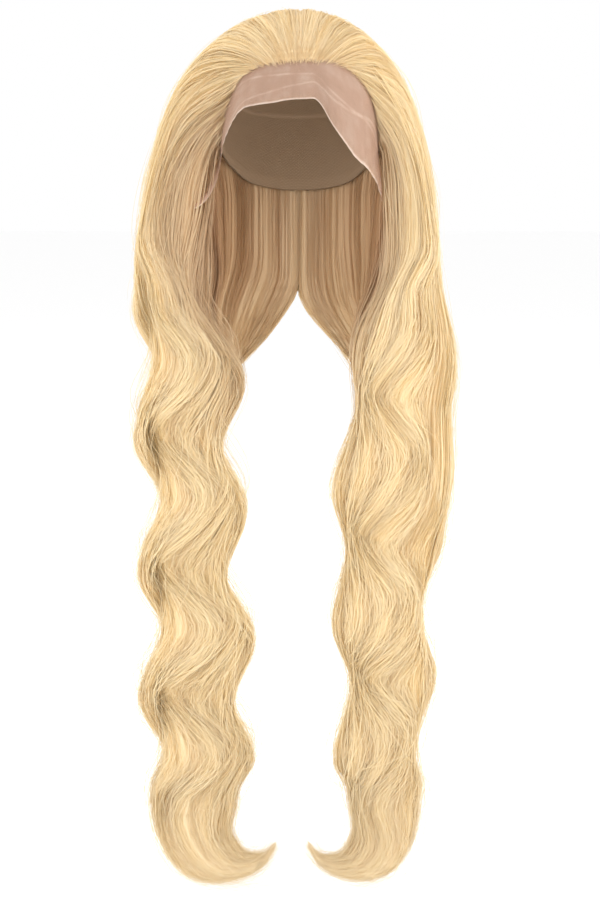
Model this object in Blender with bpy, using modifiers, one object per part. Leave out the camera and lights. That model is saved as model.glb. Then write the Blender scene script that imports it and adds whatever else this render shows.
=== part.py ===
"""Lace front wig in its worn form: a net cap, a sheer lace front, swept-back crown hair and two waved falls.

Metres, +Z up, the face towards -Y. The origin is the inside of the cap's top, where the wig sits on a head.
Left and right are as seen from the front.
"""
from collections import namedtuple
from math import acos, cos, pi, radians, sin

import bmesh
import bpy
from mathutils import Vector

# Head that the cap is made for
HEAD_BREADTH = 0.150
HEAD_LENGTH = 0.190
HEAD_DROP = 0.105        # from the top of the head to its widest level
HEAD_FULLNESS = 2.4      # power of the rounded head profile, 2 is an ellipse

# Walls and clearances
CAP_WALL = 0.0015
LACE_WALL = 0.0010
SEAM_GAP = 0.0003        # between faces that meet
SEAT_GAP = 0.0009        # between the hair and the net or lace that it is tied to
CURTAIN_GAP = 0.0022     # between the falls and the cap in front of them

# Hair volume, measured out from the cap
TOP_LIFT = 0.018
LEFT_LIFT = 0.074
RIGHT_LIFT = 0.056
BACK_LIFT = 0.024
FRONT_LIFT = 0.022
HAIRLINE_DEPTH = 0.004   # thickness of the hair where it leaves the lace
DOME_DROP = 0.171        # level below the cap's top where the head of hair is widest
RIM_DROP = 0.118         # level where the crown hair ends and the falls begin
DOME_FULLNESS = 2.05
CROWN_RELIEF = 0.0020    # height of a lock above the groove beside it, half each way
FALL_RELIEF = 0.0036
RELIEF_START = 0.078     # drop below the rim over which the locks of a fall rise
THIN_HAIR = 0.3          # share of the full depth below which the crown has no locks
LIP_POWER = 5            # how late towards the hairline the hair over the forehead thins

# Falls
FALL_DROP = 0.627        # from the rim to where the ends begin to curl
HALF_SPREAD = 0.150      # from the middle to the outside of a fall
FALL_DEPTH = 0.025       # half of the front-to-back thickness
FALL_FORWARD = 0.060     # how far in front of the head's middle the falls hang
GATHER_DROP = 0.190      # below the cap's nape, where the curtain has become one bundle
BACK_HOLD = 0.090        # how much further down the halves stay together behind the neck
LEFT_WAVE = 0.127        # length of a wave
RIGHT_WAVE = 0.137
LEFT_CREST = 2.0         # waves from the cap's top to a swing to the left
RIGHT_CREST = 2.036
WAVE_SWING = 0.0105      # sideways swing of a fall's outline
LOCK_SWING = 0.013       # further swing of the locks across the fall
WAVE_START = 0.055       # below the rim
WAVE_BUILD = 0.114       # drop over which the waves reach their full swing
WAVE_FADE = 0.93         # share of the fall from which they die out towards the curl
WAVE_SPREAD = 0.4        # power of the gathering by which they build up across the curtain
STRAIGHT_DROP = 0.400    # below the cap's top, how far down the right fall's outside stays straight
STRAIGHT_SIDE = 0.3      # how far round that outside reaches, added to the cosine of the turn
CURL_REACH_LEFT = 0.081
CURL_REACH_RIGHT = 0.076
CURL_DROP = 0.069
CURL_RELIEF = 0.8        # height of the locks in the curl beside those in the fall

# Mesh density
HEAD_COLUMNS = 60
CROWN_LEVELS = 11
CAP_LEVELS = 8
LACE_LEVELS = 7
FALL_ROWS = 46
CURL_ROWS = 9
TOP_CROWDING = 1.7       # power that crowds rows near the top, where the domes curve most

# Hairline and cap edge by azimuth from the face, in degrees. Drops are shares of HEAD_DROP.
Edge = namedtuple("Edge", "azimuth left right")
HAIRLINE = [
    Edge(0, 0.310, 0.310),
    Edge(20, 0.325, 0.305),
    Edge(38, 0.35, 0.345),
    Edge(50, 0.42, 0.40),
    Edge(57, 0.52, 0.435),
    Edge(63, 0.70, 0.535),
    Edge(70, 0.92, 0.68),
    Edge(77, 1.05, 0.96),
    Edge(84, 1.11, 1.08),
    Edge(92, 1.124, 1.124),
    Edge(180, 1.124, 1.124),
]
CAP_EDGE = [
    Edge(0, 0.13, 0.13),
    Edge(38, 0.15, 0.15),
    Edge(55, 0.23, 0.21),
    Edge(66, 0.48, 0.34),
    Edge(76, 0.86, 0.70),
    Edge(86, 1.08, 1.04),
    Edge(97, 1.06, 1.06),
    Edge(115, 1.18, 1.18),
    Edge(140, 1.36, 1.36),
    Edge(180, 1.43, 1.43),
]
LACE_EDGE = [
    Edge(0, 0.625, 0.625),
    Edge(10, 0.635, 0.62),
    Edge(16, 0.65, 0.68),
    Edge(23, 0.66, 0.83),
    Edge(31, 0.67, 0.96),
    Edge(42, 0.70, 1.10),
    Edge(53, 0.80, 1.19),
    Edge(61, 0.93, 1.25),
    Edge(67, 1.05, 1.29),
    Edge(72, 1.19, 1.33),
    Edge(76, 1.40, 1.39),
    Edge(80, 1.52, 1.45),
    Edge(84, 1.56, 1.50),
]
LACE_END = LACE_EDGE[-1].azimuth
NAPE_DROP = HEAD_DROP * CAP_EDGE[-1].left
LACE_FLARE_LEFT = 0.028   # how far the free tail stands off the face at its tip
LACE_FLARE_RIGHT = 0.009
TAIL_TWIST = 0.5          # how much further out a tail's outer edge stands, as a share of its flare
TWIST_FROM = 73           # azimuth at which the twist begins
TAIL_TURN = 0.45          # turns the tails towards the front, as a share of their azimuth
FLARE_POWER = 1.3         # how late along the tail most of the flare comes
RIPPLE_FROM = 1 / 3       # share of the lace below its seam that lies close to the face
LACE_RIPPLE = 0.0012
RIPPLE_TURN = 24          # degrees from one wave of the lace's free edge to the next

# Fall sections from the rim to the curl. Drop is a share of FALL_DROP, the rest of HALF_SPREAD,
# except forward, of FALL_FORWARD, and yaw, in degrees.
Bundle = namedtuple("Bundle", "drop centre half_width forward yaw")
LEFT_FALL = [
    Bundle(0.00, 0.72, 0.30, 0.10, 30),
    Bundle(0.21, 0.74, 0.32, 0.40, 26),
    Bundle(0.36, 0.690, 0.300, 0.80, 18),
    Bundle(0.53, 0.68, 0.28, 0.98, 12),
    Bundle(0.77, 0.660, 0.31, 1.00, 8),
    Bundle(0.93, 0.665, 0.305, 0.97, 6),
    Bundle(1.00, 0.695, 0.29, 0.95, 5),
]
RIGHT_FALL = [
    Bundle(0.00, 0.64, 0.35, 0.10, 30),
    Bundle(0.21, 0.665, 0.36, 0.40, 26),
    Bundle(0.36, 0.655, 0.36, 0.80, 18),
    Bundle(0.50, 0.605, 0.36, 0.98, 12),
    Bundle(0.64, 0.553, 0.30, 1.00, 9),
    Bundle(0.77, 0.555, 0.28, 1.00, 8),
    Bundle(0.93, 0.55, 0.265, 0.97, 6),
    Bundle(1.00, 0.567, 0.24, 0.95, 5),
]
# The curled end, with inward a share of the reach, drop of CURL_DROP, and width and depth of the fall's.
Curl = namedtuple("Curl", "inward drop width depth turn")
CURL = [
    Curl(0.00, 0.00, 1.00, 1.00, 0),
    Curl(0.01, 0.48, 0.88, 0.92, 8),
    Curl(0.20, 0.87, 0.78, 0.80, 28),
    Curl(0.45, 1.00, 0.54, 0.62, 44),
    Curl(0.70, 0.97, 0.32, 0.42, 62),
    Curl(0.88, 0.86, 0.20, 0.27, 76),
    Curl(1.00, 0.64, 0.06, 0.08, 98),
]

CURL_DIP = 0.2            # share of the curl's rows that go down before it turns inwards
CURL_DIP_INWARD = 0.004
CURL_SPACING = 1.15

# A fall's section as a loop of points: the outside from front to back, the inside, and across the front.
# Ring is the azimuth on the head in degrees, and turn the place on the bundle.
OUTER_POINTS, INNER_POINTS, FRONT_POINTS = 13, 7, 4
RING_FRONT, RING_WIDEST, RING_BACK, RING_INNER = 66, 96, 180, 96
TURN_FRONT, TURN_WIDEST, TURN_BACK, TURN_INSIDE, TURN_INNER = 120, 0, -72, -86, -165
FRONT_BULGE = 0.018       # how far the front of the curtain rounds forwards
FACE_BULGE = 0.38         # the same for the crown beside the face, as a share of the strip's width
FACE_SIDE = 42            # azimuth from which the crown's outside reaches below the hairline
FACE_BLEND = 20           # further turn over which it comes down to the rim

BLOND = (0.86, 0.68, 0.40, 1.0)
LACE_BEIGE = (0.80, 0.60, 0.48, 1.0)
LACE_COVER = 0.35
NET_BEIGE = (0.78, 0.62, 0.42, 1.0)
HAIR_ROUGHNESS = 0.45
CLOTH_ROUGHNESS = 0.85


def smooth(share):
    """Eases a share from 0 to 1."""
    share = max(0.0, min(1.0, share))
    return share * share * (3 - 2 * share)


def along(table, key, place):
    """The row of the table at a place of its key column, every column curved smoothly through its rows."""
    keys = [getattr(row, key) for row in table]
    place = max(keys[0], min(keys[-1], place))
    at = max(i for i in range(len(table) - 1) if keys[i] <= place)
    before, start, end, after = (table[max(0, min(len(table) - 1, at + step))] for step in (-1, 0, 1, 2))
    width = keys[at + 1] - keys[at]
    share = (place - keys[at]) / width
    values = []
    for name in table[0]._fields:
        a, b, c, d = (getattr(row, name) for row in (before, start, end, after))
        first, last = keys[max(0, at - 1)], keys[min(len(keys) - 1, at + 2)]
        leaving = (c - a) * width / (keys[at + 1] - first)
        arriving = (d - b) * width / (last - keys[at])
        if (c - b) * (b - a) <= 0:
            leaving = 0.0
        if (d - c) * (c - b) <= 0:
            arriving = 0.0
        square, cube = share**2, share**3
        values.append(
            b * (2 * cube - 3 * square + 1)
            + c * (3 * square - 2 * cube)
            + leaving * (cube - 2 * square + share)
            + arriving * (cube - square)
        )
    return type(table[0])(*values)


def edge_drop(table, azimuth):
    """How far below the cap's top an edge lies, at an azimuth in degrees that is negative on the left."""
    row = along(table, "azimuth", abs(azimuth))
    return HEAD_DROP * (row.left if azimuth < 0 else row.right)


def power(value, exponent):
    """A power that keeps the value's sign."""
    return abs(value) ** exponent * (1 if value >= 0 else -1)


def head_point(azimuth, drop, grow=0.0):
    """A point of the head's form, grown outwards, at an azimuth in degrees and a drop below the top."""
    level = 1 - drop / HEAD_DROP
    polar = acos(max(-1.0, min(1.0, power(level, HEAD_FULLNESS / 2))))
    girth = sin(polar) ** (2 / HEAD_FULLNESS)
    turn = radians(azimuth)
    return Vector((
        (HEAD_BREADTH / 2 + grow) * girth * sin(turn),
        -(HEAD_LENGTH / 2 + grow) * girth * cos(turn),
        (HEAD_DROP + grow) * level - HEAD_DROP,
    ))


def dome_point(azimuth, drop):
    """A point of the head of hair's outer form, at a drop below its own top."""
    height = TOP_LIFT + DOME_DROP
    level = 1 - min(drop, height) / height
    girth = (1 - level**DOME_FULLNESS) ** (1 / DOME_FULLNESS)
    turn = radians(azimuth)
    side = HEAD_BREADTH / 2 + (LEFT_LIFT if azimuth < 0 else RIGHT_LIFT)
    end = HEAD_LENGTH / 2 + (FRONT_LIFT if cos(turn) > 0 else BACK_LIFT)
    return Vector((side * girth * sin(turn), -end * girth * cos(turn), TOP_LIFT - drop))


def material(name, color, roughness, alpha=1.0):
    """A plain finish."""
    made = bpy.data.materials.new(name)
    made.use_nodes = True
    shader = made.node_tree.nodes["Principled BSDF"]
    shader.inputs["Base Color"].default_value = color
    shader.inputs["Roughness"].default_value = roughness
    shader.inputs["Alpha"].default_value = alpha
    return made


def loft(name, rings, collection, finish, first=None, last=None, closed=True, capped=True):
    """A surface through rings of points. Its ends close on a point, or flat if capped."""
    mesh = bmesh.new()
    rows = [[mesh.verts.new(point) for point in ring] for ring in rings]
    count = len(rows[0])
    for upper, lower in zip(rows, rows[1:]):
        for i in range(count if closed else count - 1):
            j = (i + 1) % count
            mesh.faces.new((upper[i], upper[j], lower[j], lower[i]))
    for row, tip in ((rows[0], first), (rows[-1], last)):
        if tip is not None:
            point = mesh.verts.new(tip)
            for i in range(count):
                mesh.faces.new((row[i], row[(i + 1) % count], point))
        elif capped:
            mesh.faces.new(row)
    bmesh.ops.recalc_face_normals(mesh, faces=mesh.faces)
    data = bpy.data.meshes.new(name)
    mesh.to_mesh(data)
    mesh.free()
    data.shade_smooth()
    data.materials.append(finish)
    made = bpy.data.objects.new(name, data)
    collection.objects.link(made)
    return made


def wall(made, thickness):
    """Gives an open surface its thickness, built outwards from the head."""
    solid = made.modifiers.new("wall", "SOLIDIFY")
    solid.thickness = thickness
    solid.offset = 1.0
    solid.use_even_offset = True
    return made


def azimuths(end=180.0):
    """The columns' azimuths round the head, all of them or those of the front up to an end."""
    turns = [360.0 * i / HEAD_COLUMNS - 180.0 for i in range(HEAD_COLUMNS)]
    return [turn for turn in turns if abs(turn) <= end]


def face_outwards(made):
    """Turns an open surface's faces away from the head's middle."""
    data = made.data
    middle = Vector((0, 0, -HEAD_DROP))
    face = data.polygons[len(data.polygons) // 2]
    if face.normal.dot(face.center - middle) < 0:
        data.flip_normals()
    return made


def cap(collection):
    """The net cap: a dome from behind the hairline, round the ears and down to the nape."""
    turns = azimuths()
    rings = []
    for level in range(1, CAP_LEVELS + 1):
        share = level / CAP_LEVELS
        rings.append([head_point(turn, edge_drop(CAP_EDGE, turn) * share**TOP_CROWDING) for turn in turns])
    finish = material("cap_net", NET_BEIGE, CLOTH_ROUGHNESS)
    made = loft("cap", rings, collection, finish, first=(0, 0, 0), capped=False)
    return wall(face_outwards(made), CAP_WALL)


def lace_front(collection):
    """The sheer lace: from the cap's front edge to its own uncut edge, with a tail before each ear."""
    turns = azimuths(LACE_END)
    rings = []
    for level in range(LACE_LEVELS + 1):
        share = level / LACE_LEVELS
        ring = []
        for turn in turns:
            top = edge_drop(CAP_EDGE, turn) + seam_drop(turn)
            drop = top + (edge_drop(LACE_EDGE, turn) - top) * share
            point = head_point(turn, drop)
            free = max(0.0, drop - RIM_DROP) / (HEAD_DROP * LACE_EDGE[-1].left - RIM_DROP)
            flare = LACE_FLARE_LEFT if turn < 0 else LACE_FLARE_RIGHT
            ripple = LACE_RIPPLE * (1 + sin(2 * pi * turn / RIPPLE_TURN))
            ripple *= smooth((share - RIPPLE_FROM) / (1 - RIPPLE_FROM))
            away = Vector((sin(radians(turn * TAIL_TURN)), -cos(radians(turn * TAIL_TURN)), 0))
            twist = TAIL_TWIST * smooth((abs(turn) - TWIST_FROM) / (LACE_END - TWIST_FROM))
            point.x += (1 if turn > 0 else -1) * twist * flare * free
            ring.append(point + away * (flare * free**FLARE_POWER + ripple))
        rings.append(ring)
    finish = material("lace", LACE_BEIGE, CLOTH_ROUGHNESS, alpha=LACE_COVER)
    made = loft("lace_front", rings, collection, finish, closed=False, capped=False)
    return wall(face_outwards(made), LACE_WALL)


def seam_drop(turn):
    """How much further down the lace starts than the cap ends, for SEAM_GAP square to their seam."""
    column = 360.0 / HEAD_COLUMNS
    drop = edge_drop(CAP_EDGE, turn)
    before, after = (head_point(turn + step, edge_drop(CAP_EDGE, turn + step)) for step in (-column, column))
    seam = (after - before).normalized()
    down = (head_point(turn, drop + LACE_WALL) - head_point(turn, drop)) / LACE_WALL
    return SEAM_GAP / down.cross(seam).length


def crown_hair(collection):
    """The hair over the head, swept back from the hairline and standing away at the sides."""
    turns = azimuths()
    seat = CAP_WALL + SEAT_GAP
    outer, inner = [], []
    for level in range(1, CROWN_LEVELS + 1):
        share = level / CROWN_LEVELS
        outer_ring, inner_ring = [], []
        for i, turn in enumerate(turns):
            line = min(edge_drop(HAIRLINE, turn), RIM_DROP)
            base = head_point(turn, line * share**TOP_CROWDING, seat)
            # Beside the face the outside reaches down to the rim, and over the forehead only to the hairline
            side = smooth((abs(turn) - FACE_SIDE) / FACE_BLEND)
            end = (line + (RIM_DROP - line) * side) + TOP_LIFT
            dome = dome_point(turn, end * share**TOP_CROWDING)
            rounded = (1 - share**LIP_POWER * (1 - side)) ** 0.5
            lock = CROWN_RELIEF * (1 if i % 2 else -1) * smooth(share * 2)
            away = dome - base
            depth = max(HAIRLINE_DEPTH, away.length * rounded + lock * (rounded > THIN_HAIR))
            point = base + away.normalized() * depth
            point.z = max(point.z, -RIM_DROP)
            outer_ring.append(point)
            inner_ring.append(base)
        outer.append(outer_ring)
        inner.append(inner_ring)
    # The strip from the rim in to the hairline, which rounds forwards beside the face
    strip = []
    for turn, edge, base in zip(turns, outer[-1], inner[-1]):
        near = smooth((RING_WIDEST - abs(turn)) / (RING_WIDEST - RING_FRONT))
        bulge = FACE_BULGE * (edge - base).length * near
        strip.append((edge + base) / 2 - Vector((0, bulge, 0)))
    finish = material("hair_crown", BLOND, HAIR_ROUGHNESS)
    rings = outer + [strip] + inner[::-1]
    return loft("crown_hair", rings, collection, finish, first=(0, 0, TOP_LIFT), last=(0, 0, seat))


def section_places():
    """For each point of a fall's section: its azimuth on the head, how far inside it is, and its turn."""
    places = []
    half = OUTER_POINTS // 2
    for i in range(OUTER_POINTS):
        if i <= half:
            share = i / half
            places.append((RING_FRONT + (RING_WIDEST - RING_FRONT) * share, 0.0,
                           TURN_FRONT + (TURN_WIDEST - TURN_FRONT) * share))
        else:
            share = (i - half) / (OUTER_POINTS - 1 - half)
            places.append((RING_WIDEST + (RING_BACK - RING_WIDEST) * share, 0.0,
                           TURN_WIDEST + (TURN_BACK - TURN_WIDEST) * share))
    for i in range(INNER_POINTS):
        share = i / (INNER_POINTS - 1)
        places.append((RING_BACK + (RING_INNER - RING_BACK) * share, 1.0,
                       TURN_INSIDE + (TURN_INNER - TURN_INSIDE) * share))
    for i in range(1, FRONT_POINTS + 1):
        share = i / (FRONT_POINTS + 1)
        places.append((RING_INNER + (RING_FRONT - RING_INNER) * share, 1.0 - share,
                       TURN_INNER + (TURN_FRONT - 360 - TURN_INNER) * share))
    return places


def ring_point(side, azimuth, inside, drop):
    """A point of the curtain round the head, side -1 left or 1 right, from outside 0 to inside 1."""
    outside = dome_point(side * azimuth, drop + TOP_LIFT)
    cap_side = head_point(side * azimuth, min(drop, NAPE_DROP), CAP_WALL + CURTAIN_GAP)
    cap_side.z = outside.z = -drop
    bulge = FRONT_BULGE * sin(pi * inside) if 0 < inside < 1 else 0.0
    point = outside.lerp(cap_side, inside) - Vector((0, bulge, 0))
    point.x = side * max(SEAM_GAP / 2, side * point.x)
    return point


def wave_phase(side, drop):
    """Phase of the body wave at a drop below the cap's top, a quarter turn before the swing to the right."""
    length, crest = (LEFT_WAVE, LEFT_CREST) if side < 0 else (RIGHT_WAVE, RIGHT_CREST)
    return 2 * pi * (drop / length - crest) - pi / 2


def bundle_point(side, row, turn, phase, swing, size):
    """A point of the gathered bundle from its centre. The locks swing across it and meet at its edges."""
    place = radians(turn)
    place += side * swing * sin(phase) * sin(place) / (row.half_width * HALF_SPREAD)
    across = cos(place) * row.half_width * HALF_SPREAD * size[0]
    forward = sin(place) * FALL_DEPTH * size[1]
    return across, forward


def fall_sections(side, table):
    """The closed rings of one fall, from the rim down to the curled end."""
    places = section_places()
    reach = CURL_REACH_LEFT if side < 0 else CURL_REACH_RIGHT
    rings = []
    for i in range(FALL_ROWS + 1):
        drop = RIM_DROP + SEAM_GAP + FALL_DROP * i / FALL_ROWS
        share = i / FALL_ROWS
        row = along(table, "drop", share)
        gathered = smooth((drop - NAPE_DROP) / GATHER_DROP)
        rise = smooth((drop - RIM_DROP - WAVE_START) / WAVE_BUILD)
        rise *= 1 - smooth((share - WAVE_FADE) / (1 - WAVE_FADE))
        held = 0.0 if side < 0 else 1 - smooth((drop - STRAIGHT_DROP) / RIGHT_WAVE)
        phase = wave_phase(side, drop)
        yaw = radians(row.yaw)
        outwards = Vector((side * cos(yaw), sin(yaw), 0))
        forwards = Vector((side * sin(yaw), -cos(yaw), 0))
        centre = Vector((side * row.centre * HALF_SPREAD, -row.forward * FALL_FORWARD, -drop))
        ring = []
        for j, (azimuth, inside, turn) in enumerate(places):
            across, forward = bundle_point(side, row, turn, phase, LOCK_SWING * rise, (1, 1))
            bundle = centre + outwards * across + forwards * forward
            hold = BACK_HOLD * smooth((azimuth - RING_WIDEST) / (RING_BACK - RING_WIDEST))
            moved = smooth((drop - NAPE_DROP - hold) / (GATHER_DROP - hold / 2))
            point = ring_point(side, azimuth, inside, drop).lerp(bundle, moved)
            straight = held * smooth(cos(radians(turn)) + STRAIGHT_SIDE)
            point.x += WAVE_SWING * rise * sin(phase) * moved**WAVE_SPREAD * (1 - straight)
            ring.append(point)
        rings.append(raised(side, ring, smooth(FALL_DROP * share / RELIEF_START), gathered))
    start = along(table, "drop", 1.0)
    base = Vector((side * start.centre * HALF_SPREAD, -start.forward * FALL_FORWARD, rings[-1][0].z))
    yaw = radians(start.yaw)
    for i in range(1, CURL_ROWS + 1):
        row = along(CURL, "inward", curl_place(i / CURL_ROWS))
        turned = radians(row.turn)
        outwards = Vector((side * cos(yaw) * cos(turned), sin(yaw) * cos(turned), -sin(turned)))
        forwards = Vector((side * sin(yaw), -cos(yaw), 0))
        centre = base + Vector((-side * row.inward * reach, 0, -row.drop * CURL_DROP))
        ring = []
        for azimuth, inside, turn in places:
            across, forward = bundle_point(side, start, turn, 0.0, 0.0, (row.width, row.depth))
            ring.append(centre + outwards * across + forwards * forward)
        rings.append(raised(side, ring, row.width * CURL_RELIEF, 1.0))
    return rings


def curl_place(share):
    """Spaces the curl's rows evenly along it, for its table goes down before it goes inwards."""
    if share < CURL_DIP:
        return CURL_DIP_INWARD * share / CURL_DIP
    return CURL_DIP_INWARD + (1 - CURL_DIP_INWARD) * ((share - CURL_DIP) / (1 - CURL_DIP)) ** CURL_SPACING


def raised(side, ring, amount, gathered):
    """The ring with every other point raised into a lock, kept on its own side of the seam."""
    made = []
    count = len(ring)
    normal = (ring[3] - ring[0]).cross(ring[OUTER_POINTS - 3] - ring[0])
    for i, point in enumerate(ring):
        tangent = ring[(i + 1) % count] - ring[i - 1]
        away = tangent.cross(normal).normalized()
        flat = OUTER_POINTS - 2 <= i <= OUTER_POINTS + 1
        lock = FALL_RELIEF * amount * (1 if i % 2 else -1) * (gathered if flat else 1.0)
        if OUTER_POINTS <= i < OUTER_POINTS + INNER_POINTS:
            lock *= gathered
        point = point - away * lock
        point.x = side * max(SEAM_GAP / 2, side * point.x)
        made.append(point)
    return made


def main():
    """Builds the five pieces."""
    for old in list(bpy.data.objects):
        bpy.data.objects.remove(old)
    collection = bpy.data.collections.new("lace_front_wig")
    bpy.context.scene.collection.children.link(collection)
    cap(collection)
    lace_front(collection)
    crown_hair(collection)
    for name, side, table in (("left_fall", -1, LEFT_FALL), ("right_fall", 1, RIGHT_FALL)):
        loft(name, fall_sections(side, table), collection, material(name, BLOND, HAIR_ROUGHNESS))


main()
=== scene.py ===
"""Looks of a lace front wig in its worn form: net cap, sheer lace, swept-back crown and two waved falls."""
import logging
import math
from dataclasses import dataclass, field
from enum import Enum

import bpy
import numpy as np
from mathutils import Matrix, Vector


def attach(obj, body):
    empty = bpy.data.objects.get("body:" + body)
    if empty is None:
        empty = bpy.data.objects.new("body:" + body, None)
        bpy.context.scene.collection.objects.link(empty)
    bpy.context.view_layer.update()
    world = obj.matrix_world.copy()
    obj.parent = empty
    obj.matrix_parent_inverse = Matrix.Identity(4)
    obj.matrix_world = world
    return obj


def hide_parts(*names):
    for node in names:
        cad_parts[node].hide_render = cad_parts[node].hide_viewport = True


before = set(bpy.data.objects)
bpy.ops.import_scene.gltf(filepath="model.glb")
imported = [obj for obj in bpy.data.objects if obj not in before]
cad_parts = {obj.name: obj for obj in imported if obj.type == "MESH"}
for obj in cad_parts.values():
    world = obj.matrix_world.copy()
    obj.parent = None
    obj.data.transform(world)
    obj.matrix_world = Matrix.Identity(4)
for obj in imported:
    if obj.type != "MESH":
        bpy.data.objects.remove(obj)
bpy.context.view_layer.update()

LOG = logging.getLogger("wig")
Array = np.ndarray
Colour = tuple[float, float, float, float]
Point = tuple[float, float, float]
Row = tuple[float, ...]
Piece = bpy.types.Object
SEED = 20
TINY = 1e-9
LAYOUT_MARGIN = 0.01


class Side(Enum):
    """The two halves of the hair, as seen from the front."""

    LEFT = -1
    RIGHT = 1


class Layer(Enum):
    """The layers of strands, each with how loosely its locks spread and how far its ribbons turn."""

    UNDER = (1.0, 0.3)
    OVER = (1.4, 0.8)
    LOOSE = (4.5, 0.8)


def smooth(share: Array) -> Array:
    """Eases a share from 0 to 1, flat at both ends."""
    share = np.clip(share, 0.0, 1.0)
    return share * share * (3 - 2 * share)


def through(at: Array, places: list[float], values: list[float]) -> Array:
    """Reads a smooth curve that runs through a short table.

    Args:
        at: Where to read it.
        places: The table's places, rising.
        values: The table's value at each place.

    Returns:
        The curve's values, as many as at has.
    """
    x, y = np.asarray(places, float), np.asarray(values, float)
    width, slope = np.diff(x), np.diff(y) / np.diff(x)
    inner = np.where(slope[:-1] * slope[1:] > 0, (y[2:] - y[:-2]) / (x[2:] - x[:-2]), 0.0)
    tangent = np.concatenate([[0.0], inner, [0.0]])
    at = np.clip(at, x[0], x[-1])
    i = np.clip(np.searchsorted(x, at, side="right") - 1, 0, len(x) - 2)
    s = (at - x[i]) / width[i]
    ends = y[i] * (1 + 2 * s) * (1 - s) ** 2 + y[i + 1] * s * s * (3 - 2 * s)
    return ends + width[i] * (tangent[i] * s * (1 - s) ** 2 - tangent[i + 1] * s * s * (1 - s))


def unit(vectors: Array) -> Array:
    """Scales vectors to length 1."""
    return vectors / np.maximum(np.linalg.norm(vectors, axis=-1, keepdims=True), TINY)


def point3(x: Array, y: Array, z: Array) -> Array:
    """Joins coordinates into points along a last axis."""
    return np.stack(np.broadcast_arrays(x, y, z), axis=-1)


@dataclass(frozen=True)
class Head:
    """The head form that the cap and lace are made to, by degrees from the face and drop from the top."""

    breadth: float = 0.150
    length: float = 0.190
    drop: float = 0.105
    fullness: float = 2.4

    def point(self, azimuth: Array, drop: Array, grow: float = 0.0) -> Array:
        """A point of the head, grown outwards.

        Args:
            azimuth: Degrees from the face, below 0 on the left.
            drop: How far below the top.
            grow: How far outside the head.

        Returns:
            Points in metres.
        """
        level = 1 - drop / self.drop
        polar = np.arccos(np.clip(np.sign(level) * np.abs(level) ** (self.fullness / 2), -1, 1))
        girth = np.sin(polar) ** (2 / self.fullness)
        turn = np.radians(azimuth)
        return point3(
            (self.breadth / 2 + grow) * girth * np.sin(turn),
            -(self.length / 2 + grow) * girth * np.cos(turn),
            (self.drop + grow) * level - self.drop,
        )


@dataclass(frozen=True)
class Edge:
    """An edge round the head: azimuths, and its drop on the left and right as shares of the head's drop."""

    azimuth: Row
    left: Row
    right: Row

    def drop(self, head: Head, azimuth: Array) -> Array:
        """How far below the top the edge lies.

        Args:
            head: The head form that it runs round.
            azimuth: Degrees from the face, below 0 on the left.

        Returns:
            Drops in metres.
        """
        left = through(np.abs(azimuth), self.azimuth, self.left)
        right = through(np.abs(azimuth), self.azimuth, self.right)
        return head.drop * np.where(azimuth < 0, left, right)


HAIRLINE = Edge(
    (0, 20, 38, 50, 57, 63, 70, 77, 84, 92, 180),
    (0.310, 0.325, 0.35, 0.42, 0.52, 0.70, 0.92, 1.05, 1.11, 1.124, 1.124),
    (0.310, 0.305, 0.345, 0.40, 0.435, 0.535, 0.68, 0.96, 1.08, 1.124, 1.124),
)
CAP_EDGE = Edge(
    (0, 38, 55, 66, 76, 86, 97, 115, 140, 180),
    (0.13, 0.15, 0.23, 0.48, 0.86, 1.08, 1.06, 1.18, 1.36, 1.43),
    (0.13, 0.15, 0.21, 0.34, 0.70, 1.04, 1.06, 1.18, 1.36, 1.43),
)
LACE_EDGE = Edge(
    (0, 10, 16, 23, 31, 42, 53, 61, 67, 72, 76, 80, 84),
    (0.625, 0.635, 0.65, 0.66, 0.67, 0.70, 0.80, 0.93, 1.05, 1.19, 1.40, 1.52, 1.56),
    (0.625, 0.62, 0.68, 0.83, 0.96, 1.10, 1.19, 1.25, 1.29, 1.33, 1.39, 1.45, 1.50),
)


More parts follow.
